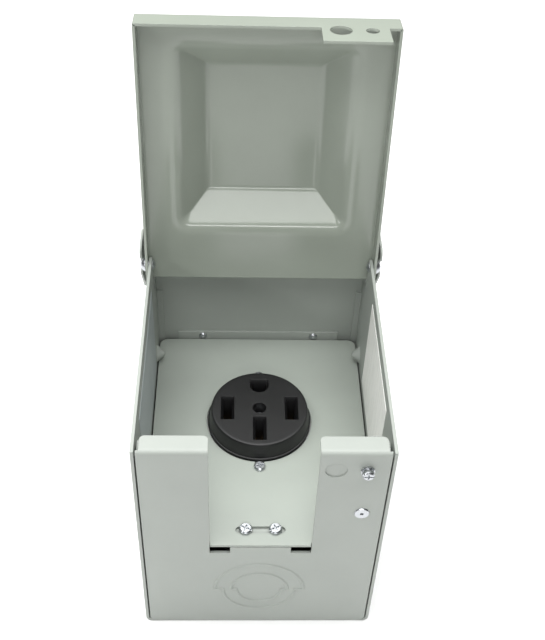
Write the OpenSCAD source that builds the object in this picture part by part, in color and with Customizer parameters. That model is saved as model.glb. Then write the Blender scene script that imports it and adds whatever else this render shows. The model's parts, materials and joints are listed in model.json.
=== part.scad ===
// Surface-mount power outlet box with a flip-up lid and a four-slot receptacle.
// The box lies on its back: X is across, +Y runs to the hinge end, +Z is out of the wall.
// The origin is the centre of the back mounting face. Millimetres.

/* [Box] */
// Outside width of the box body
box_w = 127; // [110:0.5:150]
// Height of the side walls, from the bottom end to the hood
box_h = 154.8; // [130:0.2:180]
// Depth from the mounting face to the front edge
box_d = 153.6; // [120:0.2:180]
// Sheet thickness of the body
sheet = 1.6; // [1:0.1:2.5]
// Outside bend radius at the back corners
bend_r = 4; // [2:0.5:8]
// Width of the welded flange along the top of each wall
top_flange = 3.5; // [3:0.5:12]

/* [Mounting holes] */
// Distance between the mounting holes across
mount_dx = 80; // [40:1:100]
// Distance between the mounting holes along the height
mount_dy = 116; // [60:1:130]
// Radius of each mounting hole
mount_r = 2.8; // [2:0.1:4]

/* [Hood] */
// Sheet thickness of the hood
hood_t = 1.2; // [0.8:0.1:2]
// Distance of the hood's front edge from the mounting face
hood_front = 161; // [155:0.5:170]
// Outside half width across the hood's ears
ear_x = 68.7; // [66:0.1:72]
// Depth at which the ears end
ear_back = 122; // [100:1:135]
// Height of the ears' lower edge
ear_low = 138.5; // [134:0.5:145]

/* [Bottom panel] */
// Sheet thickness of the bottom panel and of the front plate
panel_t = 1.5; // [1:0.1:2]
// Half width of the bottom panel and of the front plate
panel_x = 61.1; // [58:0.1:62]
// Height of the front lips
lip_h = 10.4; // [6:0.2:16]
// Half width of the cable notch
notch_x = 26.8; // [20:0.2:35]
// Depth at which the cable notch ends
notch_z = 74.3; // [60:0.1:90]
// Half width of the screw tab behind the front plate
tab_x = 16; // [10:0.5:20]
// Height of the screw tab
tab_h = 20; // [14:0.5:30]

/* [Knockout] */
// Distance of the knockout centre from the mounting face
knock_z = 33.9; // [28:0.1:40]
// Radii of the knockout lines: upper and lower outer arc, then upper and lower inner arc
knock_r = [24.4, 19.8, 15.6, 12.3];
// Width of the raised lines
line_w = 1.8; // [0.8:0.1:2.4]
// Height of the raised lines
line_h = 0.6; // [0.2:0.1:1]
// Depth to which the padlock blank is pressed in
blank_d = 0.6; // [0.3:0.1:1]

/* [Front plate] */
// Distance of the plate's front face from the mounting face
plate_z = 76; // [60:0.5:90]
// Height of the plate's top edge
plate_top = 152; // [140:0.5:153]
// Radius of the plate's top corners
plate_corner = 5; // [2:0.5:10]
// Radius of the receptacle hole
hole_r = 30.5; // [29:0.1:33]
// Height of the receptacle centre
socket_y = 85.8; // [75:0.1:95]
// Height of the plate screws
plate_screw_y = 10; // [8:0.1:14]
// Distance of each plate screw from the centre line
plate_screw_x = 7.95; // [6:0.05:12]

/* [Receptacle] */
// Radius of the receptacle's front face
face_r = 27.4; // [25:0.1:29]
// Radius of the receptacle at the plate
skirt_r = 29.8; // [28:0.1:30]
// How far the face stands in front of the plate
face_out = 11; // [6:0.5:16]
// Distance of each line slot from the centre
line_x = 18.4; // [16:0.1:20]
// Distance of the neutral slot from the centre
neutral_y = 15; // [12:0.1:18]
// Distance of the ground slot from the centre
ground_y = 17.6; // [15:0.1:19]
// Depth of the rear housing
housing_d = 32; // [24:0.5:40]

/* [Lid] */
// Angle between the lid as it stands open and the closed lid
open_angle = 96; // [90:0.5:105]
// Sheet thickness of the lid
lid_t = 1.4; // [1:0.1:2]
// Outside half width of the lid
lid_x = 65.3; // [64.5:0.1:66]
// Distance from the pivot to the lid's free edge
lid_reach = 144.4; // [140:0.2:150]
// Distance from the pivot to the lid's hinge edge
lid_tail = 12; // [8:0.2:14]
// Depth of the lid's rim
rim_d = 12.1; // [8:0.1:16]
// Height of the drawn panel above the lid
dome_h = 16.5; // [8:0.5:25]
// Half width of the drawn panel at its foot
dome_x = 43; // [35:0.5:50]
// Half length of the drawn panel at its foot
dome_y = 50.5; // [40:0.5:55]
// Inset of the drawn panel's flat from its foot
dome_slope = 12.5; // [8:0.5:20]

/* [Hinge] */
// Height of the hinge axis
pivot_y = 138.6; // [130:0.1:145]
// Distance of the hinge axis from the mounting face
pivot_z = 149.4; // [145:0.1:150]
// Radius of the hinge rivet shank
rivet_r = 2.4; // [2:0.1:3]
// Running clearance of the lid on the rivet shank
rivet_play = 0.06; // [0.02:0.01:0.1]

/* [Lid lock] */
// Distance of the lock screw from the centre line
lock_x = 50.1; // [45:0.1:55]
// Distance of the padlock hole from the centre line
padlock_x = 34.9; // [30:0.1:40]
// Distance of both from the mounting face
lock_z = 140.4; // [130:0.1:145]
// Radius of the padlock hole
padlock_r = 5.4; // [4:0.1:6]

/* [Hidden] */
$fn = 64;
mid_y = (box_h + hood_t) / 2;        // height of the origin above the bottom end
side_in = box_w / 2 - sheet;         // inner face of a side wall
plate_back = plate_z - panel_t;
strap_t = 1.4;
strap_z = plate_back - 0.1 - strap_t;
shoulder_z = plate_back + 0.1;       // underside of the receptacle's skirt
neck_r = 26.9;
neck_z = 66;
housing_r = 29.4;
housing_z = strap_z - 0.2 - housing_d;
face_z = plate_z + face_out;
ear_radius = box_d - pivot_z;        // rounded side-wall end around the pivot
lid_in = 4.9;                        // pivot to the lid's inner face
lid_out = lid_in + lid_t;
stop_y = 141.8;                      // the open lid's hinge edge rests just above this
notch_back = 131;
strap_screw_dy = 34.2;
pocket_play = 0.4;
head_r = 3.5;                        // combination-head screws
head_h = 2.2;
shank_r = 1.9;
cavity_lift = 0.05;
fold_r = 2.5;                        // outside radius of the bottom panel's front folds
flange_h = 12;
flange_x = 59.4;
bracket_x = 50;
bracket_t = 1.2;
bracket_rivet_x = 34.6;
bracket_rivet_z = 77.5;
bracket_rivet_r = 1.6;
bracket_low = 139;                   // height of the bracket's lower edge
bracket_back = 58;
bracket_z = 81;                      // front edge of the bracket
flush_at = [50.3, 105.7];            // flush rivet, in X and depth
flush_r = 3.95;
lug_at = [40, 40];                   // ground lug's screw, in X and height
lug_w = 10;
lug_foot = 2;
slot_w = 4.8;                        // blade openings
slot_l = 14.4;
neutral_l = 14.8;
ground_r = 4.1;
slot_bevel = 1.5;
bevel_d = 1.6;
centre_r = 3.9;
strap_w = 16;
strap_l = 78;
clip = [9, 17];                      // line and neutral contacts, in X and height
ground_clip = [10, 11];
clip_lift = 4.2;                     // contacts' floor above the housing's back
block = 9;                           // terminal block behind each contact
block_drop = 13;
screw_in_block = 4.2;
plate_slot = [26.6, 4.2];
panel_foot_r = 8;                    // corner radii of the lid's drawn panel
panel_flat_r = 4;
panel_gap = 18.1;                    // free edge of the lid to the drawn panel
tab_from = 25.5;                     // lock tab, from the centre line
tab_w = 33;
tab_down = 22;                       // lock tab's end, inwards from the pivot
lock_hole_r = 3.3;
rivet_head = [4, 3];                 // hinge rivet's outer head, radius and height
rivet_tail = [3.1, 1.8];
label_t = 0.2;
dimple_at = [133.5, 82];             // wall dimples, in height and depth
dimple_in = [5.8, 2.2, 3.8, 1.3];    // cone's radii and height, and its tip's height
dimple_out = [4.9, 1.3, 4.4];
ear_mid = 143;                       // depth where the ear's lower edge turns up
ear_r = 4;                           // rounds of the ear's lower edge
hole_play = 0.2;                     // strap screw holes around their shanks
strap_shank = 1.7;
strap_head = [3.2, 2];
finger_r = 2.6;                      // dimple under the receptacle
nut_r = 3.9;                         // nuts, across the corners, and their height
nut_h = 3.2;
lock_nut = [4.6, 3.4];
screw_l = 9;                         // shank lengths
strap_screw_l = 8;
centre_l = 24;
lock_l = 11;
wire_r = 2.6;                        // wire hole of the ground lug
rating_at = [34, 82];                // labels, in height and depth
rating_size = [78, 63];
wiring_at = [30, 80];
wiring_size = [94, 62];

// ---------- helpers ----------

// Moves heights measured from the bottom end into the frame of the part.
module boxed() translate([0, -mid_y, 0]) children();

// A flat shape drawn in (height, depth), made solid along X from x0 to x1.
module across(x0, x1) translate([x0, 0, 0]) rotate([90, 0, 90]) linear_extrude(x1 - x0) children();

// A flat shape drawn in (X, depth), made solid along the height from y0 to y1.
module upward(y0, y1) translate([0, y1, 0]) rotate([90, 0, 0]) linear_extrude(y1 - y0) children();

// A flat shape drawn in (X, height), made solid along the depth from z0 to z1.
module outward(z0, z1) translate([0, 0, z0]) linear_extrude(z1 - z0) children();

// Rectangle from a to b with round corners.
module round_rect(a, b, r) {
    translate([a[0] + r, a[1]]) square([b[0] - a[0] - 2 * r, b[1] - a[1]]);
    translate([a[0], a[1] + r]) square([b[0] - a[0], b[1] - a[1] - 2 * r]);
    for (x = [a[0] + r, b[0] - r], y = [a[1] + r, b[1] - r]) translate([x, y]) circle(r);
}

// Rectangle from a to b with only the top corners round.
module round_top(a, b, r) {
    round_rect([a[0], b[1] - 3 * r], b, r);
    translate(a) square([b[0] - a[0], b[1] - a[1] - r]);
}

// Slot with round ends along X.
module obround(length, width) {
    square([length - width, width], center = true);
    for (s = [-1, 1]) translate([s * (length - width) / 2, 0]) circle(width / 2);
}

// Mirrors a copy to the other side.
module both_sides() for (s = [0, 1]) mirror([s, 0, 0]) children();

// Domed rivet or screw head: a ball cut by a plane, rising along +Z from z = 0.
module dome(r, h) {
    ball = (r * r + h * h) / (2 * h);
    intersection() {
        translate([0, 0, h - ball]) sphere(ball);
        cylinder(r = r + 1, h = h + 1);
    }
}

// Pan head with a cross and slot recess, rising along +Z from z = 0.
module combo_head(r, h) difference() {
    union() {
        cylinder(r = r, h = h * 0.6);
        translate([0, 0, h * 0.6]) cylinder(r1 = r, r2 = r * 0.78, h = h * 0.4);
    }
    for (a = [0, 90]) rotate(a) translate([-r * 0.55, -0.4, h * 0.45]) cube([r * 1.1, 0.8, h]);
    translate([-r - 1, -0.35, h * 0.65]) cube([2 * r + 2, 0.7, h]);
}

// A screw with its head's underside at z = 0 and its shank running down.
module screw(r, h, shank, length) {
    combo_head(r, h);
    translate([0, 0, -length]) cylinder(r = shank, h = length);
}

// ---------- sheet-metal box ----------

module body_profile() difference() {
    round_rect([-box_w / 2, 0], [box_w / 2, box_d + 2 * bend_r], bend_r);
    round_rect([-side_in, sheet], [side_in, box_d + 3 * bend_r], bend_r - sheet);
    translate([-box_w, box_d]) square([2 * box_w, box_d]);
}

// Space in front of each side wall's top corner for the lid's hinge edge.
module lid_corner_cut() difference() {
    union() {
        translate([stop_y, notch_back]) square([box_h, box_d]);
        translate([pivot_y, pivot_z - ear_radius]) square([box_h, box_d]);
    }
    translate([pivot_y, pivot_z]) circle(ear_radius);
    translate([stop_y - 30, notch_back]) square([30, pivot_z - notch_back]);
}

module body_shell() color([0.66, 0.70, 0.65]) boxed() difference() {
    union() {
        upward(0, box_h) body_profile();
        both_sides() translate([side_in - top_flange, box_h - sheet, sheet])
            cube([top_flange, sheet, ear_back - 8]);
        translate([-side_in, box_h - sheet, sheet]) cube([2 * side_in, sheet, top_flange]);
        both_sides() translate([side_in + 0.3, dimple_at[0], dimple_at[1]]) rotate([0, -90, 0]) {
            cylinder(r1 = dimple_in[0], r2 = dimple_in[1], h = dimple_in[2]);
            translate([0, 0, dimple_in[2]]) dome(dimple_in[1], dimple_in[3]);
        }
    }
    both_sides() translate([box_w / 2, dimple_at[0], dimple_at[1]]) rotate([0, -90, 0])
        cylinder(r1 = dimple_out[0], r2 = dimple_out[1], h = dimple_out[2]);
    across(-box_w, box_w) lid_corner_cut();
    for (x = [-1, 1], y = [-1, 1])
        translate([x * mount_dx / 2, mid_y + y * mount_dy / 2, -1]) cylinder(r = mount_r, h = sheet + 2);
    across(-box_w, box_w) translate([pivot_y, pivot_z]) circle(rivet_r);
}

// Ear of the hood in (height, depth): its back edge meets the round of its lower edge smoothly.
module ear_outline() {
    turn = [ear_low + ear_r, ear_mid];
    end = [box_h - ear_r, ear_back];
    run = end - turn;
    touch = atan2(run[1], run[0]) - acos(ear_r / norm(run));
    polygon([[turn[0], hood_front], [box_h, hood_front], [box_h, ear_back], end,
        turn + ear_r * [cos(touch), sin(touch)], turn]);
    translate([ear_low, ear_mid]) square([ear_r + 1, hood_front - ear_r - ear_mid]);
    for (z = [ear_mid, hood_front - ear_r]) translate([turn[0], z]) circle(ear_r);
}

module top_hood() color([0.66, 0.70, 0.65]) boxed() {
    difference() {
        translate([-box_w / 2, box_h, 0]) cube([box_w, hood_t, hood_front]);
        bracket_rivet_holes();
    }
    both_sides() {
        translate([box_w / 2 - 1, box_h, ear_back])
            cube([ear_x - box_w / 2 + 1, hood_t, hood_front - ear_back]);
        across(ear_x - hood_t, ear_x) difference() {
            ear_outline();
            translate([pivot_y, pivot_z]) circle(rivet_head[0] + pocket_play);
        }
    }
}

// Section of a raised line on the bottom panel, in (across the line, outwards).
module line_section() polygon([[-line_w / 2, -0.3], [line_w / 2, -0.3], [line_w / 2, 0],
    [line_w / 5, line_h], [-line_w / 5, line_h], [-line_w / 2, 0]]);

// Knockout lines: upper and lower half rings, joined by short straight lines.
module knockout_lines() translate([0, 0, knock_z]) {
    for (i = [0:3]) rotate([90, 0, 0]) rotate([0, 0, i % 2 == 0 ? 0 : 180])
        rotate_extrude(angle = 180, $fn = 96) translate([knock_r[i], 0]) line_section();
    for (i = [0, 2]) both_sides() translate([knock_r[i + 1] - line_w / 4, 0, 0])
        rotate([90, 0, 90]) linear_extrude(knock_r[i] - knock_r[i + 1] + line_w / 2)
            rotate(90) line_section();
}

// Rounds the outside of a bend at height 0 and the given depth.
module bend_cut(depth) difference() {
    translate([-1, depth - fold_r]) square(fold_r + 1);
    translate([fold_r, depth - fold_r]) circle(fold_r);
}

module bottom_panel() color([0.68, 0.72, 0.67]) boxed() {
    difference() {
        upward(0, panel_t) intersection() {
            round_rect([-panel_x, sheet], [panel_x, box_d + 10], bend_r - sheet);
            translate([-panel_x, 0]) square([2 * panel_x, box_d]);
        }
        across(-panel_x, panel_x) bend_cut(box_d);
        translate([-notch_x, -1, notch_z]) cube([2 * notch_x, panel_t + 2, box_d]);
        both_sides() translate([tab_x, -1, notch_z - 5]) cube([notch_x - tab_x, panel_t + 2, 10]);
        translate([padlock_x, -1, lock_z]) rotate([-90, 0, 0]) cylinder(r = padlock_r, h = 1 + blank_d);
        translate([lock_x, -1, lock_z]) rotate([-90, 0, 0]) cylinder(r = shank_r, h = panel_t + 2);
        translate([flush_at[0], -1, flush_at[1]]) rotate([-90, 0, 0]) cylinder(r = rivet_r, h = panel_t + 2);
    }
    knockout_lines();
    // front lips
    both_sides() difference() {
        outward(box_d - panel_t, box_d) round_top([notch_x, 0], [panel_x - 1.5, lip_h], 2.5);
        across(-panel_x, panel_x) bend_cut(box_d);
    }
    // side flanges, welded to the side walls
    both_sides() translate([panel_x - panel_t, 0, bend_r + 0.4])
        cube([panel_t, flange_h, box_d - bend_r - 6]);
    // back flange, welded to the back wall
    translate([-flange_x, 0, sheet]) cube([2 * flange_x, flange_h, panel_t]);
    // screw tab
    outward(notch_z - panel_t, notch_z) difference() {
        round_top([-tab_x, 0], [tab_x, tab_h], 3);
        for (s = [-1, 1]) translate([s * plate_screw_x, plate_screw_y]) circle(shank_r);
    }
}

// ---------- front plate and its fixings ----------

module bracket_rivet_holes() for (s = [-1, 1])
    translate([s * bracket_rivet_x, box_h - 5, bracket_rivet_z]) rotate([-90, 0, 0])
        cylinder(r = bracket_rivet_r, h = 10);

module plate_bracket() color([0.60, 0.62, 0.60]) boxed() difference() {
    union() {
        translate([-bracket_x, box_h - bracket_t, bracket_back])
            cube([2 * bracket_x, bracket_t, bracket_z - bracket_back]);
        translate([-bracket_x, bracket_low, plate_back - 0.1 - bracket_t])
            cube([2 * bracket_x, box_h - bracket_low, bracket_t]);
    }
    bracket_rivet_holes();
}

module bracket_rivets() color([0.80, 0.81, 0.82]) boxed()
    for (s = [-1, 1]) translate([s * bracket_rivet_x, box_h - bracket_t, bracket_rivet_z])
        rotate([90, 0, 0]) {
            dome(2.6, 1.4);
            translate([0, 0, -bracket_t - hood_t]) cylinder(r = bracket_rivet_r, h = bracket_t + hood_t);
            translate([0, 0, -bracket_t - hood_t]) mirror([0, 0, 1]) dome(2.8, 0.8);
        }

module deadfront_plate() color([0.66, 0.70, 0.66]) boxed() outward(plate_back, plate_z) difference() {
    union() {
        round_top([-panel_x, flange_h + 0.5], [panel_x, plate_top], plate_corner);
        translate([-panel_x + 2, panel_t + 0.4]) square([2 * panel_x - 4, flange_h]);
        translate([-notch_x + 0.3, 0.3]) square([2 * notch_x - 0.6, 6]);
    }
    translate([0, socket_y]) circle(hole_r);
    translate([0, socket_y - hole_r]) circle(finger_r);
    for (s = [-1, 1]) translate([0, socket_y + s * strap_screw_dy]) circle(strap_shank + 2 * hole_play);
    translate([0, plate_screw_y]) obround(plate_slot[0], plate_slot[1]);
}

module deadfront_screws() color([0.84, 0.85, 0.86]) boxed()
    for (s = [-1, 1]) translate([s * plate_screw_x, plate_screw_y, plate_z])
        rotate(s * 24) screw(head_r, head_h, shank_r, screw_l);

module deadfront_nuts() color([0.72, 0.73, 0.72]) boxed()
    for (s = [-1, 1]) translate([s * plate_screw_x, plate_screw_y, notch_z - panel_t - nut_h])
        difference() {
            cylinder(r = nut_r, h = nut_h, $fn = 6);
            translate([0, 0, -1]) cylinder(r = shank_r, h = 6);
        }

// ---------- receptacle ----------

// The four blade openings, drawn in (X, height) about the receptacle centre.
// grow widens every opening by the same amount on each side.
module slots(grow) {
    for (s = [-1, 1]) translate([s * line_x, 0])
        square([slot_w + 2 * grow, slot_l + 2 * grow], center = true);
    translate([0, -neutral_y]) square([slot_w + 2 * grow, neutral_l + 2 * grow], center = true);
    translate([0, ground_y]) {
        translate([-ground_r - grow, -0.6]) square([2 * (ground_r + grow), 3.6 + grow]);
        intersection() {
            circle(ground_r + grow);
            translate([-8, -8]) square([16, 8]);
        }
    }
}

module receptacle_face() color([0.07, 0.07, 0.075]) boxed() translate([0, socket_y, 0]) difference() {
    union() {
        translate([0, 0, neck_z]) cylinder(r = neck_r, h = shoulder_z - neck_z);
        translate([0, 0, shoulder_z])
            cylinder(r1 = skirt_r, r2 = face_r + 0.3, h = face_z - shoulder_z - 0.8);
        translate([0, 0, face_z - 0.8]) cylinder(r1 = face_r + 0.3, r2 = face_r - 0.4, h = 0.8);
    }
    outward(neck_z - 1, face_z + 1) slots(0);
    outward(face_z - bevel_d, face_z + 1) slots(slot_bevel);
    translate([0, 0, face_z - 9]) cylinder(r = centre_r, h = 10);
    translate([0, 0, neck_z - 1]) cylinder(r = shank_r + hole_play, h = 30);
    // finger dimple over the strap screw
    translate([0, -skirt_r - 1.2, shoulder_z - 1]) cylinder(r = finger_r, h = face_out);
}

// Pocket outline of each contact, as [x, y, width, length].
POCKETS = [[-line_x, 0, clip[0], clip[1]], [line_x, 0, clip[0], clip[1]],
    [0, -neutral_y, clip[0], clip[1]], [0, ground_y, ground_clip[0], ground_clip[1]]];

module receptacle_housing() color([0.09, 0.09, 0.10]) boxed() translate([0, socket_y, 0]) difference() {
    translate([0, 0, housing_z]) cylinder(r = housing_r, h = housing_d);
    translate([0, 0, neck_z - 0.1]) cylinder(r = neck_r + 0.1, h = housing_d);
    for (p = POCKETS) {
        translate([p[0] - p[2] / 2, p[1] - p[3] / 2, housing_z + clip_lift - 0.2])
            cube([p[2], p[3], housing_d]);
        translate([p[0] - 3.2, p[1] - 3.2, housing_z - 1]) cube([6.4, 6.4, 8]);
    }
    translate([0, 0, housing_z + 10]) cylinder(r = 1.9, h = housing_d);
}

module receptacle_strap() color([0.70, 0.71, 0.70]) boxed() outward(strap_z, strap_z + strap_t)
    translate([0, socket_y]) difference() {
        union() {
            circle(housing_r + 1.5);
            round_rect([-strap_w / 2, -strap_l / 2], [strap_w / 2, strap_l / 2], 3);
        }
        circle(neck_r + 0.15);
        for (s = [-1, 1]) translate([0, s * strap_screw_dy]) circle(strap_shank);
    }

module strap_screws() color([0.84, 0.85, 0.86]) boxed()
    for (s = [-1, 1]) translate([0, socket_y + s * strap_screw_dy, plate_z])
        rotate(15) screw(strap_head[0], strap_head[1], strap_shank, strap_screw_l);

module centre_screw() color([0.55, 0.56, 0.56]) boxed() translate([0, socket_y, face_z - 8.9])
    screw(3.4, 1.8, 1.8, centre_l);

// One spring clip: two leaves, a floor and a tail that carries the terminal screw.
// side is the direction in which the terminal screw leaves, in degrees.
module contact(x, y, size, gap, side) translate([x, socket_y + y, housing_z + clip_lift]) {
    leaf = 1.2;
    clip_w = size[0] - pocket_play * 2;
    clip_l = size[1] - pocket_play * 2;
    tall = neck_z - housing_z - 5;
    difference() {
        translate([-clip_w / 2, -clip_l / 2, 0]) cube([clip_w, clip_l, tall]);
        translate([-clip_w / 2 + leaf, -clip_l, leaf]) cube([clip_w - 2 * leaf, 2 * clip_l, tall]);
    }
    for (s = [-1, 1]) translate([s * (gap + leaf) / 2 - leaf / 2, -clip_l / 2, tall - 9])
        cube([leaf, clip_l, 8]);
    for (s = [-1, 1]) translate([s > 0 ? gap / 2 : -clip_w / 2, -clip_l / 2, tall - leaf])
        cube([clip_w / 2 - gap / 2, clip_l, leaf]);
    translate([-2.8, -2.8, -5]) cube([5.6, 5.6, 5.2]);
    rotate(side) translate([-block / 2, -block / 2, -block_drop]) difference() {
        cube([block, block, 2 * screw_in_block]);
        translate([0, block / 2, screw_in_block]) rotate([0, 90, 0]) cylinder(r = shank_r, h = 12);
    }
}

module line_contact_left() color([0.80, 0.66, 0.36]) boxed() contact(-line_x, 0, clip, 2.4, 180);
module line_contact_right() color([0.80, 0.66, 0.36]) boxed() contact(line_x, 0, clip, 2.4, 0);
module neutral_contact() color([0.78, 0.76, 0.70]) boxed() contact(0, -neutral_y, clip, 2.4, 270);
module ground_contact() color([0.80, 0.66, 0.36]) boxed() contact(0, ground_y, ground_clip, 3.2, 90);

module terminal_screws() color([0.82, 0.80, 0.72]) boxed()
    for (t = [[-line_x, 0, 180], [line_x, 0, 0], [0, -neutral_y, 270], [0, ground_y, 90]])
        translate([t[0], socket_y + t[1], housing_z + clip_lift - block_drop + screw_in_block])
            rotate(t[2]) translate([block / 2 + 0.1, 0, 0]) rotate([0, 90, 0])
                screw(head_r, head_h, shank_r, block / 2);

// ---------- small fixings ----------

module ground_lug() color([0.74, 0.75, 0.75]) boxed() translate([lug_at[0], lug_at[1], sheet])
    difference() {
        union() {
            translate([-lug_w / 2, -lug_w / 2, 0]) cube([lug_w, 2.4 * lug_w, lug_foot]);
            translate([-lug_w / 2, 0.7 * lug_w, 0]) cube([lug_w, 1.2 * lug_w, lug_w]);
        }
        translate([0, 0, -1]) cylinder(r = shank_r, h = lug_foot + 2);
        translate([-lug_w, 1.3 * lug_w, lug_w / 2]) rotate([0, 90, 0]) cylinder(r = wire_r, h = 2 * lug_w);
    }

module ground_lug_screw() color([0.35, 0.55, 0.38]) boxed()
    translate([lug_at[0], lug_at[1], sheet + lug_foot]) screw(head_r, head_h, shank_r, lug_foot);

module flush_rivet() color([0.80, 0.81, 0.80]) boxed() translate([flush_at[0], 0, flush_at[1]])
    rotate([90, 0, 0]) difference() {
        union() {
            cylinder(r1 = flush_r, r2 = flush_r - 0.35, h = 0.7);
            translate([0, 0, -panel_t - 2]) cylinder(r = rivet_r, h = panel_t + 2);
            translate([0, 0, -panel_t - 2.5]) cylinder(r = 3.4, h = 2.5);
        }
        translate([0, 0, -1]) cylinder(r = 0.9, h = 4);
    }

module lock_screw() color([0.84, 0.85, 0.87]) boxed() translate([lock_x, 0, lock_z])
    rotate([90, 0, 0]) {
        cylinder(r = 3.4, h = 0.9);
        cylinder(r = 2.5, h = 2);
        translate([0, 0, 1.9]) screw(3.05, 2.1, shank_r, lock_l);
    }

module lock_screw_nut() color([0.72, 0.73, 0.72]) boxed() translate([lock_x, panel_t, lock_z])
    rotate([-90, 0, 0]) difference() {
        cylinder(r = lock_nut[0], h = lock_nut[1], $fn = 6);
        translate([0, 0, -1]) cylinder(r = shank_r, h = 6);
    }

// ---------- lid ----------
// The lid is drawn closed about the pivot: -Y to the free edge, +Z out of the box.

// The drawn panel as a solid; inset moves its skin inwards by one sheet.
module drawn_panel(inset) hull() {
    for (x = [-1, 1], y = [-1, 1]) {
        translate([x * (dome_x - panel_foot_r), y * (dome_y - panel_foot_r), lid_in - inset])
            cylinder(r = panel_foot_r - inset, h = 0.2, $fn = 32);
        translate([x * (dome_x - dome_slope - panel_flat_r), y * (dome_y - dome_slope - panel_flat_r),
            lid_out + dome_h - inset - 0.2]) cylinder(r = panel_flat_r - inset * 0.6, h = 0.2, $fn = 32);
    }
}

module lid() color([0.64, 0.68, 0.64]) boxed() translate([0, pivot_y, pivot_z])
    rotate([-open_angle, 0, 0]) {
        dome_mid = dome_y + panel_gap - lid_reach;
        difference() {
            union() {
                translate([-lid_x, -lid_reach, lid_in]) cube([2 * lid_x, lid_reach + lid_tail, lid_t]);
                translate([0, dome_mid, 0]) drawn_panel(0);
            }
            translate([0, dome_mid, -cavity_lift]) drawn_panel(lid_t);
            translate([0, dome_mid, lid_in - 3]) linear_extrude(3)
                square([2 * dome_x, 2 * dome_y], center = true);
        }
        // side rims, each on its rivet
        both_sides() across(lid_x - lid_t, lid_x) difference() {
            union() {
                translate([-lid_reach, lid_out - rim_d]) square([lid_reach, rim_d]);
                round_rect([-20, lid_out - rim_d], [lid_tail, lid_out], 4);
                translate([0, lid_out - 5]) square([lid_tail, 5]);
            }
            circle(rivet_r + rivet_play);
        }
        // free-edge rim with the lock tab
        difference() {
            union() {
                translate([-lid_x, -lid_reach, lid_out - rim_d]) cube([2 * lid_x, lid_t, rim_d]);
                translate([tab_from, -lid_reach, -tab_down]) cube([tab_w, lid_t, tab_down]);
            }
            for (h = [[padlock_x, padlock_r], [lock_x, lock_hole_r]])
                translate([h[0], -lid_reach - 1, lock_z - pivot_z]) rotate([-90, 0, 0])
                    cylinder(r = h[1], h = lid_t + 2);
        }
    }

module hinge_rivet(s) color([0.84, 0.85, 0.86]) boxed() translate([0, pivot_y, pivot_z])
    mirror([s > 0 ? 0 : 1, 0, 0]) rotate([0, 90, 0]) {
        translate([0, 0, side_in]) cylinder(r = rivet_r, h = lid_x + 0.3 - side_in);
        translate([0, 0, lid_x + 0.3]) dome(rivet_head[0], rivet_head[1]);
        translate([0, 0, side_in]) mirror([0, 0, 1]) dome(rivet_tail[0], rivet_tail[1]);
    }

module hinge_rivet_left() hinge_rivet(-1);
module hinge_rivet_right() hinge_rivet(1);

// ---------- labels ----------

module rating_label() color([0.86, 0.87, 0.86]) boxed()
    translate([side_in - label_t, rating_at[0], rating_at[1]])
        cube([label_t, rating_size[0], rating_size[1]]);

module wiring_label() color([0.74, 0.77, 0.80]) boxed()
    translate([-side_in, wiring_at[0], wiring_at[1]]) cube([label_t, wiring_size[0], wiring_size[1]]);

body_shell();
top_hood();
bottom_panel();
plate_bracket();
bracket_rivets();
deadfront_plate();
deadfront_screws();
deadfront_nuts();
receptacle_face();
receptacle_housing();
receptacle_strap();
strap_screws();
centre_screw();
line_contact_left();
line_contact_right();
neutral_contact();
ground_contact();
terminal_screws();
ground_lug();
ground_lug_screw();
flush_rivet();
lock_screw();
lock_screw_nut();
lid();
hinge_rivet_left();
hinge_rivet_right();
rating_label();
wiring_label();
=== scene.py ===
"""Dresses the flip-lid power outlet box: finishes, drawn lid, receptacle face and studio."""

import json
import logging
import math
from dataclasses import dataclass, field
from enum import Enum
from typing import Iterable, Sequence

import bmesh
import bpy
from mathutils import Matrix, Vector


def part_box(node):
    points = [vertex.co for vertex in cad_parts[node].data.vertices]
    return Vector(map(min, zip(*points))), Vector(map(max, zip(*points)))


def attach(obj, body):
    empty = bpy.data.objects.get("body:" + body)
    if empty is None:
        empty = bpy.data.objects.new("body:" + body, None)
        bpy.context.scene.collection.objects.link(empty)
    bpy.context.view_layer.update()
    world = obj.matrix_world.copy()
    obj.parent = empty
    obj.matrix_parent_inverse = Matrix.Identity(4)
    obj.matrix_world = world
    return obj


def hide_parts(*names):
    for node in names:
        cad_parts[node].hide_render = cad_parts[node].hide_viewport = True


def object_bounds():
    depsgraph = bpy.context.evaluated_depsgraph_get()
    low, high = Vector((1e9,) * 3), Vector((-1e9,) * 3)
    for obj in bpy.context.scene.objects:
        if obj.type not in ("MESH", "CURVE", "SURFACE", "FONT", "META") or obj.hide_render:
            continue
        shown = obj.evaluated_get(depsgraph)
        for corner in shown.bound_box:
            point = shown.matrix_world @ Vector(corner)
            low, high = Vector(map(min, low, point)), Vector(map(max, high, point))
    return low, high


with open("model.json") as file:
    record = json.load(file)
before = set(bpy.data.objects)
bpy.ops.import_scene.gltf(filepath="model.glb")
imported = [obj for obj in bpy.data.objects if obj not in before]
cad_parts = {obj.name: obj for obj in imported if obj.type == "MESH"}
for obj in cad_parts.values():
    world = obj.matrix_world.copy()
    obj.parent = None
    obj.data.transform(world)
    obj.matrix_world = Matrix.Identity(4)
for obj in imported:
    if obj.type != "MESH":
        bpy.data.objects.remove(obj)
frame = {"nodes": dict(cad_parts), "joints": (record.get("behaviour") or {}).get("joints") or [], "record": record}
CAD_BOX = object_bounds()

LOG = logging.getLogger("outlet_box")
MM = 0.001
WHITE = (1.0, 1.0, 1.0, 1.0)
EDGE_BAND = (0.97, 0.75)    # how far an edge turns the surface, from none to full
FOLD_ANGLE = 1.2            # radians; a sheet's fold is sharper than this
OVERSHOOT = 1 * MM          # how far a cutter runs past what it cuts


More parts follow.
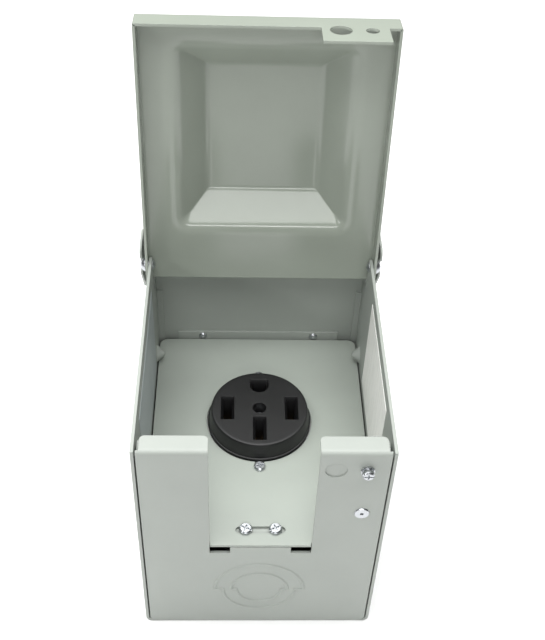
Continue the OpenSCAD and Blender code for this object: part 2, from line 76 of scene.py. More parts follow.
class Slot(Enum):
    """The record's material slots."""

    SHEET = "painted_sheet"
    PLATE = "painted_plate"
    LID = "painted_lid"
    GALVANISED = "galvanised_steel"
    ZINC = "zinc_plate"
    MOULDING = "black_moulding"
    BRASS = "contact_brass"
    ALUMINIUM = "lug_aluminium"
    GREEN = "ground_green"
    LABEL = "label_film"


class Body(Enum):
    """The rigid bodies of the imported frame."""

    BOX = "box"
    LID = "lid"


# ---------------------------------------------------------------- shader maths


class Wire:
    """A shader socket that takes part in Python expressions."""

    def __init__(self, tree: "ShaderTree", socket: bpy.types.NodeSocket) -> None:
        """Wraps socket, which belongs to tree."""
        self.tree = tree
        self.socket = socket

    def _math(self, operation: str, *values: "Wire | float") -> "Wire":
        """Adds one Math node.

        Args:
            operation: The Math node's operation.
            values: Its inputs, in order.

        Returns:
            The node's result.
        """
        return self.tree.node("ShaderNodeMath", {"operation": operation}, dict(enumerate(values)))

    def __add__(self, other: "Wire | float") -> "Wire":
        """self + other."""
        return self._math("ADD", self, other)

    def __radd__(self, other: float) -> "Wire":
        """other + self."""
        return self._math("ADD", other, self)

    def __sub__(self, other: "Wire | float") -> "Wire":
        """self - other."""
        return self._math("SUBTRACT", self, other)

    def __rsub__(self, other: float) -> "Wire":
        """other - self."""
        return self._math("SUBTRACT", other, self)

    def __mul__(self, other: "Wire | float") -> "Wire":
        """self * other."""
        return self._math("MULTIPLY", self, other)

    def __rmul__(self, other: float) -> "Wire":
        """other * self."""
        return self._math("MULTIPLY", other, self)

    def clamp(self, low: float, high: float) -> "Wire":
        """self kept between low and high."""
        return self._math("MAXIMUM", self._math("MINIMUM", self, high), low)

    def sine(self) -> "Wire":
        """Sine of self."""
        return self._math("SINE", self)

    def above(self, edge: float) -> "Wire":
        """1 where self is over edge, else 0."""
        return self._math("GREATER_THAN", self, edge)


class ShaderTree:
    """A node tree that is built from scratch."""

    def __init__(self, owner: bpy.types.Material | bpy.types.World) -> None:
        """Empties the owner's tree."""
        owner.use_nodes = True
        self.nodes, self.links = owner.node_tree.nodes, owner.node_tree.links
        self.nodes.clear()

    def node(self, kind: str, settings: dict | None = None, inputs: dict | None = None,
             out: int | str = 0) -> Wire | None:
        """Adds a node.

        Args:
            kind: The node's type name.
            settings: Attributes that are set before the inputs.
            inputs: Values or wires by socket name or number.
            out: The output to return.

        Returns:
            The chosen output, or None from a node that has no output.
        """
        made = self.nodes.new(kind)
        for key, value in (settings or {}).items():
            setattr(made, key, value)
        for key, value in (inputs or {}).items():
            if isinstance(value, Wire):
                self.links.new(value.socket, made.inputs[key])
            else:
                made.inputs[key].default_value = value
        return Wire(self, made.outputs[out]) if made.outputs else None


class Surface(ShaderTree):
    """Builds one material's node tree."""

    def __init__(self, name: str) -> None:
        """Starts an empty material called name."""
        self.material = bpy.data.materials.new(name)
        super().__init__(self.material)

    def place(self, scale: Sequence[float] = (1, 1, 1)) -> Wire:
        """Object coordinates, stretched by scale."""
        coords = self.node("ShaderNodeTexCoord", out="Object")
        return self.node("ShaderNodeMapping", {"vector_type": "POINT"}, {"Vector": coords, "Scale": scale})

    def along(self, axis: int) -> Wire:
        """Distance along one axis of the object."""
        coords = self.node("ShaderNodeTexCoord", out="Object")
        return self.node("ShaderNodeSeparateXYZ", None, {"Vector": coords}, out=axis)

    def noise(self, size_mm: float, detail: float = 2, roughness: float = 0.5,
              stretch: Sequence[float] = (1, 1, 1)) -> Wire:
        """Noise with features of about size_mm.

        Args:
            size_mm: Size of one feature.
            detail: Octaves.
            roughness: Weight of the finer octaves.
            stretch: Scale of the pattern along each axis.

        Returns:
            A value from 0 to 1.
        """
        return self.node("ShaderNodeTexNoise", None, {
            "Vector": self.place(stretch), "Scale": 1 / (size_mm * MM),
            "Detail": detail, "Roughness": roughness})

    def mix(self, share: Wire | float, first: Sequence[float] | Wire,
            second: Sequence[float] | Wire) -> Wire:
        """Mixes two colours.

        Args:
            share: How much of the second colour.
            first: The first colour.
            second: The second colour.

        Returns:
            The mixed colour.
        """
        def four(colour: Sequence[float] | Wire) -> Sequence[float] | Wire:
            """The colour with its alpha."""
            return colour if isinstance(colour, Wire) else (*colour[:3], 1)

        colours = {0: share, 6: four(first), 7: four(second)}
        return self.node("ShaderNodeMix", {"data_type": "RGBA"}, colours, out=2)

    def band(self, value: Wire, low: float, high: float) -> Wire:
        """A soft step of value, from 0 at low to 1 at high."""
        return self.node("ShaderNodeMapRange", {"interpolation_type": "SMOOTHSTEP"},
                         {"Value": value, "From Min": low, "From Max": high})

    def edges(self, radius_mm: float) -> Wire:
        """1 on edges sharper than radius_mm and 0 on open faces."""
        bent = self.node("ShaderNodeBevel", {"samples": 4}, {"Radius": radius_mm * MM})
        flat = self.node("ShaderNodeNewGeometry", out="Normal")
        same = self.node("ShaderNodeVectorMath", {"operation": "DOT_PRODUCT"}, {0: bent, 1: flat},
                         out="Value")
        return self.band(same, *EDGE_BAND)

    def finish(self, shader: dict, height: Wire | None = None, depth_mm: float = 0.02,
               edge_mm: float = 0.0) -> bpy.types.Material:
        """Closes the tree with a Principled shader.

        Args:
            shader: The shader's inputs by name.
            height: What the bump reads, if there is one.
            depth_mm: The bump's depth.
            edge_mm: Radius to which sharp edges are rounded in the light.

        Returns:
            The finished material.
        """
        inputs = dict(shader)
        normal = None
        if edge_mm:
            normal = self.node("ShaderNodeBevel", {"samples": 4}, {"Radius": edge_mm * MM})
        if height is not None:
            bump = {"Height": height, "Distance": depth_mm * MM, "Strength": 1.0}
            if normal is not None:
                bump["Normal"] = normal
            normal = self.node("ShaderNodeBump", None, bump)
        if normal is not None:
            inputs["Normal"] = normal
        closed = self.node("ShaderNodeBsdfPrincipled", None, inputs)
        self.node("ShaderNodeOutputMaterial", None, {"Surface": closed})
        return self.material


def shade(colour: Sequence[float], by: float) -> tuple[float, ...]:
    """colour made darker or lighter by a factor, up to white."""
    return tuple(min(1.0, c * by) for c in colour)


def linear(red: int, green: int, blue: int) -> tuple[float, float, float]:
    """Display colour to scene-linear.

    Args:
        red: Red, 0 to 255.
        green: Green, 0 to 255.
        blue: Blue, 0 to 255.

    Returns:
        The linear colour.
    """
    def one(value: float) -> float:
        """One channel."""
        value /= 255
        return value / 12.92 if value <= 0.04045 else ((value + 0.055) / 1.055) ** 2.4

    return one(red), one(green), one(blue)


# ---------------------------------------------------------------- finishes


@dataclass(frozen=True)
class PaintedSteel:
    """Satin grey-green powder coat with orange peel, dust, faint rubs and a painted highlight, with a little wear,
    along sharp edges.
    """

    name: str
    colour: tuple[float, float, float]
    roughness: float = 0.42
    cloud_mm: float = 38
    dust_mm: float = 2.2
    rub_mm: float = 9
    edge_highlight_and_wear_mm: float = 0.7
    peel_mm: float = 0.9
    peel_depth_mm: float = 0.012
    edge_mm: float = 0.45

    def build(self) -> bpy.types.Material:
        """The finished material."""
        s = Surface(self.name)
        clouds = s.noise(self.cloud_mm, detail=3)
        dust = s.noise(self.dust_mm, detail=4, roughness=0.6)
        rubs = s.band(s.noise(self.rub_mm, detail=4, roughness=0.6, stretch=(1, 0.3, 0.3)), 0.55, 0.80)
        tone = s.mix(clouds, shade(self.colour, 0.93), shade(self.colour, 1.10))
        tone = s.mix(dust * 0.10, tone, shade(self.colour, 0.80))
        # Sharp edges turn towards a lighter paint colour: a painted highlight along the edges, with a little edge
        # wear.
        tone = s.mix(s.edges(self.edge_highlight_and_wear_mm) * 0.22, tone, shade(self.colour, 1.45))
        rough = (clouds - 0.5) * 0.10 + self.roughness + rubs * 0.10 + (dust - 0.5) * 0.08
        peel = s.noise(self.peel_mm, detail=2) + s.noise(self.peel_mm * 6, detail=1) * 0.6
        return s.finish({"Base Color": tone, "Roughness": rough.clamp(0.12, 0.8),
                         "Specular IOR Level": 0.5},
                        peel, self.peel_depth_mm, self.edge_mm)


@dataclass(frozen=True)
class BrightZinc:
    """Bright zinc on small fixings, with passivation tint, tool marks and a painted highlight on edges."""

    name: str
    colour: tuple[float, float, float]
    roughness: float = 0.30

    def build(self) -> bpy.types.Material:
        """The finished material."""
        s = Surface(self.name)
        cloud = s.noise(2.5, detail=3)
        marks = s.noise(0.5, detail=3, stretch=(1, 1, 5))
        tone = s.mix(cloud, shade(self.colour, 0.82), self.colour)
        # Edges are mixed towards near-white: a painted highlight along the edges.
        tone = s.mix(s.edges(0.25) * 0.35, tone, (0.95, 0.96, 0.97))
        rough = (cloud - 0.5) * 0.16 + (marks - 0.5) * 0.08 + self.roughness
        return s.finish({"Base Color": tone, "Metallic": 1.0, "Roughness": rough.clamp(0.08, 0.7)},
                        marks, 0.003, 0.25)


@dataclass(frozen=True)
class DullMetal:
    """Plain metal of hidden brackets, nuts, clips and lugs."""

    name: str
    colour: tuple[float, float, float]
    roughness: float = 0.4
    grain: tuple[float, float, float] = (1, 1, 6)

    def build(self) -> bpy.types.Material:
        """The finished material."""
        s = Surface(self.name)
        spangle = s.node("ShaderNodeTexVoronoi", None, {"Vector": s.place(), "Scale": 260}, out="Color")
        spangle = s.node("ShaderNodeSeparateColor", None, {"Color": spangle})
        grain = s.noise(0.6, detail=3, stretch=self.grain)
        tone = s.mix(spangle * 0.5 + grain * 0.3, shade(self.colour, 0.78), self.colour)
        rough = (spangle - 0.5) * 0.14 + (grain - 0.5) * 0.12 + self.roughness
        return s.finish({"Base Color": tone, "Metallic": 1.0, "Roughness": rough.clamp(0.1, 0.8)},
                        grain, 0.008, 0.2)


@dataclass(frozen=True)
class BlackMoulding:
    """Satin black thermoset with a fine moulded grain, a little dust and a painted highlight on edges."""

    name: str
    colour: tuple[float, float, float]
    dust: tuple[float, float, float] = (0.16, 0.165, 0.16)
    roughness: float = 0.46

    def build(self) -> bpy.types.Material:
        """The finished material."""
        s = Surface(self.name)
        flow = s.noise(14, detail=3)
        grain = s.noise(0.45, detail=2)
        specks = s.band(s.noise(1.1, detail=5, roughness=0.8), 0.70, 0.76)
        tone = s.mix(flow, self.colour, shade(self.colour, 1.35))
        tone = s.mix(specks * 0.25, tone, self.dust)
        # Edges are mixed towards a lighter grey: a painted highlight along the edges.
        tone = s.mix(s.edges(0.5) * 0.35, tone, shade(self.colour, 2.4))
        rough = (flow - 0.5) * 0.12 + (grain - 0.5) * 0.10 + self.roughness + specks * 0.2
        return s.finish({"Base Color": tone, "Roughness": rough.clamp(0.25, 0.9)}, grain, 0.012, 0.3)


@dataclass(frozen=True)
class LabelFilm:
    """Blank satin film with faint ruled blocks in place of print, darker and bluer on the left wall as painted
    shade.
    """

    name: str
    colour: tuple[float, float, float]
    shaded: tuple[float, float, float] = (0.36, 0.40, 0.41)
    ink: tuple[float, float, float] = (0.1, 0.1, 0.1)
    rule_mm: float = 2.6

    def build(self) -> bpy.types.Material:
        """The finished material."""
        s = Surface(self.name)
        wrinkle = s.noise(16, detail=2)
        fibre = s.noise(0.8, detail=2)
        right = s.along(0).above(0)
        # The film on the left wall takes the darker, bluer colour: painted shade for the wall that stands in
        # shade.
        base = s.mix(right, self.shaded, self.colour)
        rules = (s.along(1) * (2 * math.pi / (self.rule_mm * MM))).sine().above(0.3)
        blocks = s.noise(5, detail=1, stretch=(1, 3, 0.25)).above(0.52)
        tone = s.mix(wrinkle * 0.04 + rules * blocks * (right * 0.10 + 0.03), base, self.ink)
        return s.finish({"Base Color": tone, "Roughness": (wrinkle - 0.5) * 0.1 + 0.38,
                         "Specular IOR Level": 0.5}, wrinkle + fibre * 0.15, 0.05)


@dataclass(frozen=True)
class StudioFloor:
    """Pale seamless floor."""

    name: str = "studio_floor"
    colour: tuple[float, float, float] = (0.93, 0.93, 0.93)

    def build(self) -> bpy.types.Material:
        """The finished material."""
        s = Surface(self.name)
        tone = s.mix(s.noise(60, detail=3), shade(self.colour, 0.985), self.colour)
        return s.finish({"Base Color": tone, "Roughness": 0.75})


class Finishes:
    """Every material of the box, by record slot."""

    def __init__(self) -> None:
        """Builds each material once."""
        self.by_slot: dict[Slot, bpy.types.Material] = {
            Slot.SHEET: PaintedSteel("paint_sheet", (0.315, 0.340, 0.312)).build(),
            Slot.PLATE: PaintedSteel("paint_plate", (0.305, 0.334, 0.300)).build(),
            # The lid's coat is the same paint as the sheet's made darker: painted shade for the less lit lid.
            Slot.LID: PaintedSteel("paint_lid", (0.283, 0.313, 0.268), roughness=0.16,
                                   peel_depth_mm=0.004).build(),
            Slot.GALVANISED: DullMetal("dull_zinc", (0.58, 0.59, 0.58)).build(),
            Slot.ZINC: BrightZinc("bright_zinc", (0.52, 0.54, 0.56)).build(),
            Slot.MOULDING: BlackMoulding("black_thermoset", linear(12, 12, 13)).build(),
            Slot.BRASS: DullMetal("clip_brass", (0.72, 0.50, 0.22), 0.3).build(),
            Slot.ALUMINIUM: DullMetal("lug_alloy", (0.70, 0.71, 0.72), 0.35).build(),
            Slot.GREEN: DullMetal("green_screw", (0.06, 0.26, 0.10), 0.35).build(),
            Slot.LABEL: LabelFilm("blank_film", linear(252, 252, 247)).build(),
        }

    def dress(self, piece: bpy.types.Object, slot: Slot) -> None:
        """Gives piece the slot's material on every face.

        Args:
            piece: A mesh object.
            slot: The record's slot.
        """
        piece.data.materials.clear()
        piece.data.materials.append(self.by_slot[slot])

    def dress_frame(self) -> None:
        """Gives every CAD node the material of its record slot."""
        slots = {part["node"]: Slot(part["material_slot"]) for part in frame["record"]["subparts"]}
        for name, node in frame["nodes"].items():
            for index in range(max(1, len(node.material_slots))):
                if index < len(node.material_slots):
                    node.material_slots[index].material = self.by_slot[slots[name]]
                else:
                    node.data.materials.append(self.by_slot[slots[name]])
            LOG.info("dressed %s in %s", name, slots[name].value)


# ---------------------------------------------------------------- mesh helpers


def smooth(mesh: bmesh.types.BMesh, smooth_deg: float) -> None:
    """Shades a bmesh smooth and marks its sharp edges.

    Args:
        mesh: The bmesh.
        smooth_deg: Edges flatter than this angle are shaded smooth.
    """
    for face in mesh.faces:
        face.smooth = True
    for edge in mesh.edges:
        edge.smooth = len(edge.link_faces) != 2 or edge.calc_face_angle(0) < math.radians(smooth_deg)


def to_object(name: str, mesh: bmesh.types.BMesh, smooth_deg: float = 35) -> bpy.types.Object:
    """Turns a bmesh into an object at the origin.

    Args:
        name: The object's name.
        mesh: The bmesh, which is freed.
        smooth_deg: Edges flatter than this angle are shaded smooth.

    Returns:
        The new object.
    """
    smooth(mesh, smooth_deg)
    data = bpy.data.meshes.new(name)
    mesh.to_mesh(data)
    mesh.free()
    made = bpy.data.objects.new(name, data)
    bpy.context.scene.collection.objects.link(made)
    return made


def tidy(mesh: bmesh.types.BMesh, gap: float = 1e-6) -> None:
    """Merges doubles and turns every face outwards.

    Args:
        mesh: The bmesh to clean.
        gap: Points closer than this are merged.
    """
    bmesh.ops.remove_doubles(mesh, verts=mesh.verts, dist=gap)
    bmesh.ops.recalc_face_normals(mesh, faces=mesh.faces)


def bevel(mesh: bmesh.types.BMesh, edges: Iterable[bmesh.types.BMEdge], width: float, segments: int) -> None:
    """Rounds edges of a bmesh.

    Args:
        mesh: The bmesh.
        edges: The edges to round.
        width: The radius.
        segments: Faces across the round.
    """
    bmesh.ops.bevel(mesh, geom=list(edges), offset=width, offset_type="OFFSET", affect="EDGES",
                    segments=segments, profile=0.5, material=-1, clamp_overlap=True)


def settled(piece: bpy.types.Object) -> bpy.types.Object:
    """Replaces piece's mesh by its evaluated one and drops its modifiers.

    Args:
        piece: The object.

    Returns:
        The same object.
    """
    bpy.context.view_layer.update()
    graph = bpy.context.evaluated_depsgraph_get()
    final = bpy.data.meshes.new_from_object(piece.evaluated_get(graph))
    piece.modifiers.clear()
    piece.data = final
    return piece


def cut(piece: bpy.types.Object, cutters: Sequence[bpy.types.Object]) -> bpy.types.Object:
    """Subtracts cutters from piece and deletes them.

    Args:
        piece: The object to cut.
        cutters: Closed meshes.

    Returns:
        The cut object.
    """
    for cutter in cutters:
        modifier = piece.modifiers.new("cut", "BOOLEAN")
        modifier.operation = "DIFFERENCE"
        modifier.solver = "EXACT"
        modifier.object = cutter
    settled(piece)
    for cutter in cutters:
        bpy.data.objects.remove(cutter, do_unlink=True)
    return piece


def resmooth(piece: bpy.types.Object, smooth_deg: float) -> None:
    """Marks piece's sharp edges again after a cut.

    Args:
        piece: The object.
        smooth_deg: Edges flatter than this angle are shaded smooth.
    """
    mesh = bmesh.new()
    mesh.from_mesh(piece.data)
    smooth(mesh, smooth_deg)
    mesh.to_mesh(piece.data)
    mesh.free()


# ---------------------------------------------------------------- lid


@dataclass
class DrawnLid:
    """The pressed lid: a shallow pan with a drawn panel, folded rims and a lock tab."""

    finishes: Finishes
    sheet: float = 1.4 * MM
    half_width: float = 65.3 * MM
    reach: float = 144.4 * MM
    tail: float = 12 * MM
    inner: float = 4.9 * MM
    rim: float = 12.1 * MM
    fold: float = 2.4 * MM
    corner: float = 3.2 * MM
    corner_segments: int = 6
    fold_segments: int = 5
    panel_half: tuple[float, float] = (50 * MM, 57 * MM)
    panel_corner: float = 9.5 * MM
    panel_middle: float = -75.8 * MM
    border: float = 3.8 * MM
    border_rise: float = 1.1 * MM
    slope_end: float = 19.2 * MM
    panel_height: float = 16.5 * MM
    rounds: tuple[float, float, float] = (2.2 * MM, 1.4 * MM, 2.2 * MM)
    blur: float = 0.5 * MM
    cell: float = 0.75 * MM
    tab_from: float = 25.5 * MM
    tab_width: float = 33 * MM
    tab_end: float = -22 * MM
    tab_holes: tuple[tuple[float, float], ...] = ((34.9 * MM, 5.4 * MM), (50.1 * MM, 3.3 * MM))
    hole_level: float = -9 * MM
    punch_depth: float = 8 * MM
    joint: dict = field(default_factory=lambda: frame["joints"][0])

    def placed(self) -> Matrix:
        """From the closed lid about its pivot to the lid as it stands open."""
        open_angle = math.radians(max(self.joint["range_deg"]))
        return Matrix.Translation(Vector(self.joint["pos_m"])) @ Matrix.Rotation(-open_angle, 4, "X")

    def profile(self, inset: float) -> float:
        """Rise of the panel: a shallow border, then a steep slope up to the flat.

        Args:
            inset: Distance inwards from the panel's foot.

        Returns:
            The height in metres.
        """
        def bend(at: float, half: float) -> float:
            """A straight line that starts at a place with a round."""
            way = inset - at
            if way <= -half:
                return 0.0
            return way if way >= half else (way + half) ** 2 / (4 * half)

        starts = (0, self.border, self.slope_end)
        foot, crease, flat = (bend(at, half) for at, half in zip(starts, self.rounds))
        shallow = self.border_rise / self.border
        steep = (self.panel_height - self.border_rise) / (self.slope_end - self.border)
        return shallow * (foot - crease) + steep * (crease - flat)

    def rise(self, x: float, y: float) -> float:
        """Height of the drawn panel over the lid's flat, with its creases softened.

        Args:
            x: Across the lid.
            y: Along the lid.

        Returns:
            The height in metres.
        """
        steps = (-self.blur, 0.0, self.blur)
        return sum(self.drawn(x + i, y + j) for i in steps for j in steps) / len(steps) ** 2

    def drawn(self, x: float, y: float) -> float:
        """Height of the drawn panel with sharp mitres.

        Args:
            x: Across the lid.
            y: Along the lid.

        Returns:
            The height in metres.
        """
        dx = abs(x) - (self.panel_half[0] - self.panel_corner)
        dy = abs(y - self.panel_middle) - (self.panel_half[1] - self.panel_corner)
        outside = math.hypot(max(dx, 0), max(dy, 0)) + min(max(dx, dy), 0) - self.panel_corner
        return self.profile(-outside)

    def pan(self) -> bpy.types.Object:
        """The outer skin with its rims and tab, given its thickness inwards."""
        length = self.reach + self.tail
        mesh = bmesh.new()
        bmesh.ops.create_grid(mesh, x_segments=round(2 * self.half_width / self.cell),
                              y_segments=round(length / self.cell), size=0.5)
        for vert in mesh.verts:
            x, y = vert.co.x * 2 * self.half_width, vert.co.y * length + (self.tail - self.reach) / 2
            vert.co = Vector((x, y, self.inner + self.sheet + self.rise(x, y)))
        near = self.cell * 0.1
        sides = [e for e in mesh.edges if e.is_boundary and (
            all(abs(abs(v.co.x) - self.half_width) < near for v in e.verts)
            or all(abs(v.co.y + self.reach) < near for v in e.verts))]
        self.fold_down(mesh, sides, self.rim)
        foot = [e for e in mesh.edges if e.is_boundary and all(
            abs(v.co.y + self.reach) < near and v.co.z < self.inner for v in e.verts)]
        ends = [self.tab_from, self.tab_from + self.tab_width]
        verts = {v for e in foot for v in e.verts}
        for end in ends:
            min(verts, key=lambda v: abs(v.co.x - end)).co.x = end
        tongue = [e for e in foot if all(ends[0] - near < v.co.x < ends[1] + near for v in e.verts)]
        self.fold_down(mesh, tongue, self.inner + self.sheet - self.rim - self.tab_end)
        corners = [e for e in mesh.edges if self.is_fold(e) and all(
            abs(v.co.y + self.reach) < near and abs(abs(v.co.x) - self.half_width) < near for v in e.verts)]
        bevel(mesh, corners, self.corner, self.corner_segments)
        level = self.inner + self.sheet - near
        folds = [e for e in mesh.edges if self.is_fold(e) and all(v.co.z > level for v in e.verts)]
        bevel(mesh, folds, self.fold, self.fold_segments)
        tidy(mesh)
        if sum(f.normal.z * f.calc_area() for f in mesh.faces) < 0:
            bmesh.ops.reverse_faces(mesh, faces=mesh.faces)
        mesh.transform(self.placed())
        pan = to_object("lid_pan", mesh, 50)
        wall = pan.modifiers.new("sheet", "SOLIDIFY")
        wall.thickness, wall.offset, wall.use_even_offset = self.sheet, -1, True
        settled(pan)
        return cut(pan, [self.punch(x, radius) for x, radius in self.tab_holes])

    def is_fold(self, edge: bmesh.types.BMEdge) -> bool:
        """True where two faces meet at a fold of the sheet."""
        return len(edge.link_faces) == 2 and edge.calc_face_angle(0) > FOLD_ANGLE

    def fold_down(self, mesh: bmesh.types.BMesh, edges: Sequence[bmesh.types.BMEdge], depth: float) -> None:
        """Extrudes edges towards the box.

        Args:
            mesh: The lid's mesh.
            edges: The edges to carry on.
            depth: How far they go.
        """
        grown = bmesh.ops.extrude_edge_only(mesh, edges=edges)["geom"]
        hem = [g for g in grown if isinstance(g, bmesh.types.BMVert)]
        bmesh.ops.translate(mesh, vec=(0, 0, -depth), verts=hem)

    def punch(self, x: float, radius: float) -> bpy.types.Object:
        """A cutter for one hole of the tab.

        Args:
            x: The hole's place across the lid.
            radius: The hole's radius.

        Returns:
            The cutter.
        """
        mesh = bmesh.new()
        bmesh.ops.create_cone(mesh, cap_ends=True, segments=48, radius1=radius, radius2=radius,
                              depth=self.punch_depth)
        mesh.transform(self.placed() @ Matrix.Translation((x, -self.reach, self.hole_level))
                       @ Matrix.Rotation(math.pi / 2, 4, "X"))
        return to_object("punch", mesh)

    def build(self) -> bpy.types.Object:
        """Builds the lid, dresses it and hangs it on its body.

        Returns:
            The lid.
        """
        pan = self.pan()
        resmooth(pan, 40)
        self.finishes.dress(pan, Slot.LID)
        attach(pan, Body.LID.value)
        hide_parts("lid")
        return pan


# ---------------------------------------------------------------- receptacle


@dataclass
class ReceptacleFace:
    """The black moulded face: a flared skirt, four bevelled blade openings and a centre hole."""

    finishes: Finishes
    face_radius: float = 27.4 * MM
    neck_radius: float = 26.9 * MM
    skirt_rise: float = 12.4 * MM
    slot_width: float = 4.8 * MM
    slot_length: float = 14.4 * MM
    bevel_out: float = 1.5 * MM
    bevel_deep: float = 2.6 * MM
    line_x: float = 18.4 * MM
    neutral_y: float = 15 * MM
    ground_y: float = 17.6 * MM
    ground_radius: float = 4.1 * MM
    ground_flat: float = 3.0 * MM
    centre_radius: float = 3.9 * MM
    centre_depth: float = 18 * MM
    brim: float = 0.02 * MM
    skirt_edge: tuple[tuple[float, float], ...] = ((0, 0.9 * MM), (0.2 * MM, 1.1 * MM), (0.7 * MM, 1.2 * MM))
    face_edge: tuple[tuple[float, float], ...] = (
        (-0.5 * MM, 1.4 * MM), (-0.25 * MM, 0.6 * MM), (0.15 * MM, 0.15 * MM), (0.7 * MM, 0), (1.6 * MM, 0))
    turns: int = 128

    def __post_init__(self) -> None:
        """Reads the face's place from the frame."""
        low, high = (Vector(c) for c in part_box("receptacle_face"))
        self.middle = (low + high) / 2
        self.foot, self.top = low.z, high.z
        self.skirt_radius = (high.x - low.x) / 2
        self.plate_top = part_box("deadfront_plate")[1][2]

    def body(self) -> bpy.types.Object:
        """The turned body, spun from its profile."""
        shoulder = self.top - self.skirt_rise
        outline = [(0, self.foot), (self.neck_radius, self.foot), (self.neck_radius, shoulder),
                   (self.skirt_radius, shoulder)]
        outline += [(self.skirt_radius - inset, self.plate_top + rise) for inset, rise in self.skirt_edge]
        outline += [(self.face_radius - inset, self.top - drop) for inset, drop in self.face_edge]
        outline.append((0, self.top))
        mesh = bmesh.new()
        verts = [mesh.verts.new((r, 0, z)) for r, z in outline]
        edges = [mesh.edges.new(pair) for pair in zip(verts, verts[1:])]
        bmesh.ops.spin(mesh, geom=verts + edges, cent=(0, 0, 0), axis=(0, 0, 1), angle=2 * math.pi,
                       steps=self.turns, use_merge=True)
        tidy(mesh)
        bmesh.ops.translate(mesh, verts=mesh.verts, vec=(0, self.middle.y, 0))
        return to_object("receptacle_moulding", mesh, 32)

    def bar(self, x: float, y: float, grow: float, low: float, high: float) -> bpy.types.Object:
        """A cutter for a straight slot, wider by grow at its top.

        Args:
            x: The slot's place across.
            y: The slot's place along the box, from the face's centre.
            grow: How far each side leans out by the top.
            low: The cutter's bottom.
            high: The cutter's top, where the lean ends.

        Returns:
            The cutter.
        """
        mesh = bmesh.new()
        bmesh.ops.create_cube(mesh, size=1)
        bmesh.ops.scale(mesh, vec=(self.slot_width, self.slot_length, high - low), verts=mesh.verts)
        for vert in mesh.verts:
            if vert.co.z > 0:
                vert.co.x += math.copysign(grow, vert.co.x)
                vert.co.y += math.copysign(grow, vert.co.y)
        bmesh.ops.translate(mesh, verts=mesh.verts, vec=(x, self.middle.y + y, (low + high) / 2))
        return to_object("slot_cutter", mesh)

    def dee(self, grow: float, low: float, high: float) -> bpy.types.Object:
        """A cutter for the ground opening: round below and flat above.

        Args:
            grow: How far its sides lean out by the top.
            low: The cutter's bottom.
            high: The cutter's top, where the lean ends.

        Returns:
            The cutter.
        """
        mesh = bmesh.new()
        bmesh.ops.create_cone(mesh, cap_ends=True, segments=64, radius1=self.ground_radius,
                              radius2=self.ground_radius + grow, depth=high - low)
        for vert in mesh.verts:
            wide = self.ground_radius + (grow if vert.co.z > 0 else 0)
            if vert.co.y > 0:
                tall = wide - self.ground_radius + self.ground_flat
                stretch = max(abs(vert.co.x) / wide, vert.co.y / tall)
                vert.co.xy = vert.co.xy / stretch
        bmesh.ops.translate(mesh, verts=mesh.verts, vec=(0, self.middle.y + self.ground_y, (low + high) / 2))
        return to_object("ground_cutter", mesh)

    def well(self) -> bpy.types.Object:
        """A cutter for the centre hole."""
        mesh = bmesh.new()
        bmesh.ops.create_cone(mesh, cap_ends=True, segments=64, radius1=self.centre_radius,
                              radius2=self.centre_radius, depth=self.centre_depth)
        bmesh.ops.translate(mesh, verts=mesh.verts, vec=(0, self.middle.y, self.top))
        return to_object("well_cutter", mesh)

    def build(self) -> bpy.types.Object:
        """Builds, cuts, dresses and hangs the face.

        Returns:
            The face.
        """
        deep, brim = self.foot - OVERSHOOT, self.top + self.brim
        bars = [(-self.line_x, 0), (self.line_x, 0), (0, -self.neutral_y)]
        cutters = [self.well()]
        for x, y in bars:
            cutters += [self.bar(x, y, 0, deep, brim + OVERSHOOT),
                        self.bar(x, y, self.bevel_out, self.top - self.bevel_deep, brim)]
        cutters += [self.dee(0, deep, brim + OVERSHOOT),
                    self.dee(self.bevel_out, self.top - self.bevel_deep, brim)]
        face = cut(self.body(), cutters)
        resmooth(face, 30)
        self.finishes.dress(face, Slot.MOULDING)
        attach(face, Body.BOX.value)
        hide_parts("receptacle_face")
        return face


# ---------------------------------------------------------------- studio


@dataclass(frozen=True)
class Lamp:
    """A flat soft light."""

    name: str
    place: tuple[float, float, float]
    aim: tuple[float, float, float]
    size: tuple[float, float]
    watts: float

    def build(self) -> None:
        """Hangs the light at its place and points it at its aim."""
        light = bpy.data.lights.new(self.name, "AREA")
        light.shape, light.energy = "RECTANGLE", self.watts
        light.size, light.size_y = self.size
        made = bpy.data.objects.new(self.name, light)
        made.location = self.place
        made.rotation_euler = (Vector(self.aim) - Vector(self.place)).to_track_quat("-Z", "Y").to_euler()
        bpy.context.scene.collection.objects.link(made)


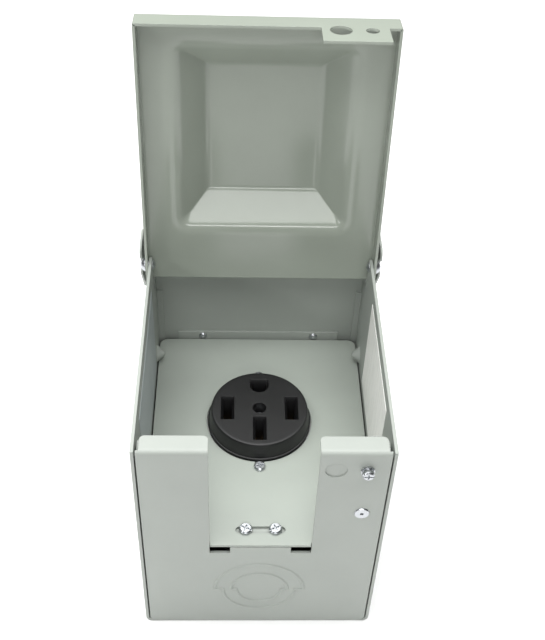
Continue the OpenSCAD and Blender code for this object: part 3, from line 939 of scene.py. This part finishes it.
@dataclass
class Studio:
    """Pale floor, soft light and the camera."""

    pitch_deg: float = 45.81
    yaw_deg: float = -2.08
    roll_deg: float = 0.556
    eye: tuple[float, float, float] = (-14.45 * MM, -379.85 * MM, 534.5 * MM)
    lens_mm: float = 57.6
    sensor_mm: float = 36.0
    surround: float = 0.10
    backdrop: float = 1.0
    floor_radius: float = 1.1
    floor_gap: float = 0.2 * MM
    view_near: float = 0.01
    view_far: float = 50
    lamps: tuple[Lamp, ...] = (
        Lamp("overhead", (-0.12, 0.12, 1.45), (0, 0, 0.1), (1.8, 1.8), 53),
        Lamp("side", (-1.11, -0.86, 0.75), (0, 0.05, 0.15), (0.45, 0.06), 3.0),
        Lamp("front", (0.03, -1.15, 0.85), (0, 0, 0.2), (0.6, 0.11), 4.2),
    )

    def floor(self) -> None:
        """A round floor under the box."""
        low = Vector(CAD_BOX[0])
        mesh = bmesh.new()
        bmesh.ops.create_circle(mesh, cap_ends=True, segments=128, radius=self.floor_radius)
        bmesh.ops.translate(mesh, verts=mesh.verts, vec=(0, 0, low.z - self.floor_gap))
        ground = to_object("studio_ground", mesh)
        ground.data.materials.append(StudioFloor().build())

    def world(self) -> None:
        """An even surround: dim as a light, pale behind the box."""
        world = bpy.data.worlds.new("studio")
        tree = ShaderTree(world)
        seen = tree.node("ShaderNodeLightPath", out="Is Camera Ray")
        strength = seen * (self.backdrop - self.surround) + self.surround
        glow = tree.node("ShaderNodeBackground", None, {"Color": WHITE, "Strength": strength})
        tree.node("ShaderNodeOutputWorld", None, {"Surface": glow})
        bpy.context.scene.world = world

    def camera(self) -> None:
        """The camera, tipped, turned and rolled as named."""
        pitch, yaw, roll = (math.radians(a) for a in (self.pitch_deg, self.yaw_deg, self.roll_deg))
        right, ahead = Vector((1, 0, 0)), Vector((0, math.sin(pitch), -math.cos(pitch)))
        up = Vector((0, math.cos(pitch), math.sin(pitch)))
        right, ahead = (right * math.cos(yaw) + ahead * math.sin(yaw),
                        ahead * math.cos(yaw) - right * math.sin(yaw))
        right, up = right * math.cos(roll) + up * math.sin(roll), up * math.cos(roll) - right * math.sin(roll)
        data = bpy.data.cameras.new("camera")
        data.sensor_width, data.lens = self.sensor_mm, self.lens_mm
        data.clip_start, data.clip_end = self.view_near, self.view_far
        made = bpy.data.objects.new("camera", data)
        turn = Matrix((right, up, -ahead)).transposed().to_4x4()
        made.matrix_world = Matrix.Translation(Vector(self.eye)) @ turn
        bpy.context.scene.collection.objects.link(made)
        bpy.context.scene.camera = made

    def build(self) -> None:
        """Sets up the whole studio."""
        self.floor()
        self.world()
        for lamp in self.lamps:
            lamp.build()
            LOG.info("hung lamp %s", lamp.name)
        self.camera()
        bpy.context.scene.view_settings.view_transform = "Standard"


def main() -> None:
    """Builds every sub-assembly in order and reports each piece."""
    finishes = Finishes()
    finishes.dress_frame()
    for maker in (DrawnLid(finishes), ReceptacleFace(finishes)):
        piece = maker.build()
        LOG.info("built %s with %d faces", piece.name, len(piece.data.polygons))
    Studio().build()


if __name__ == "__main__":
    logging.basicConfig(level=logging.INFO)
    main()
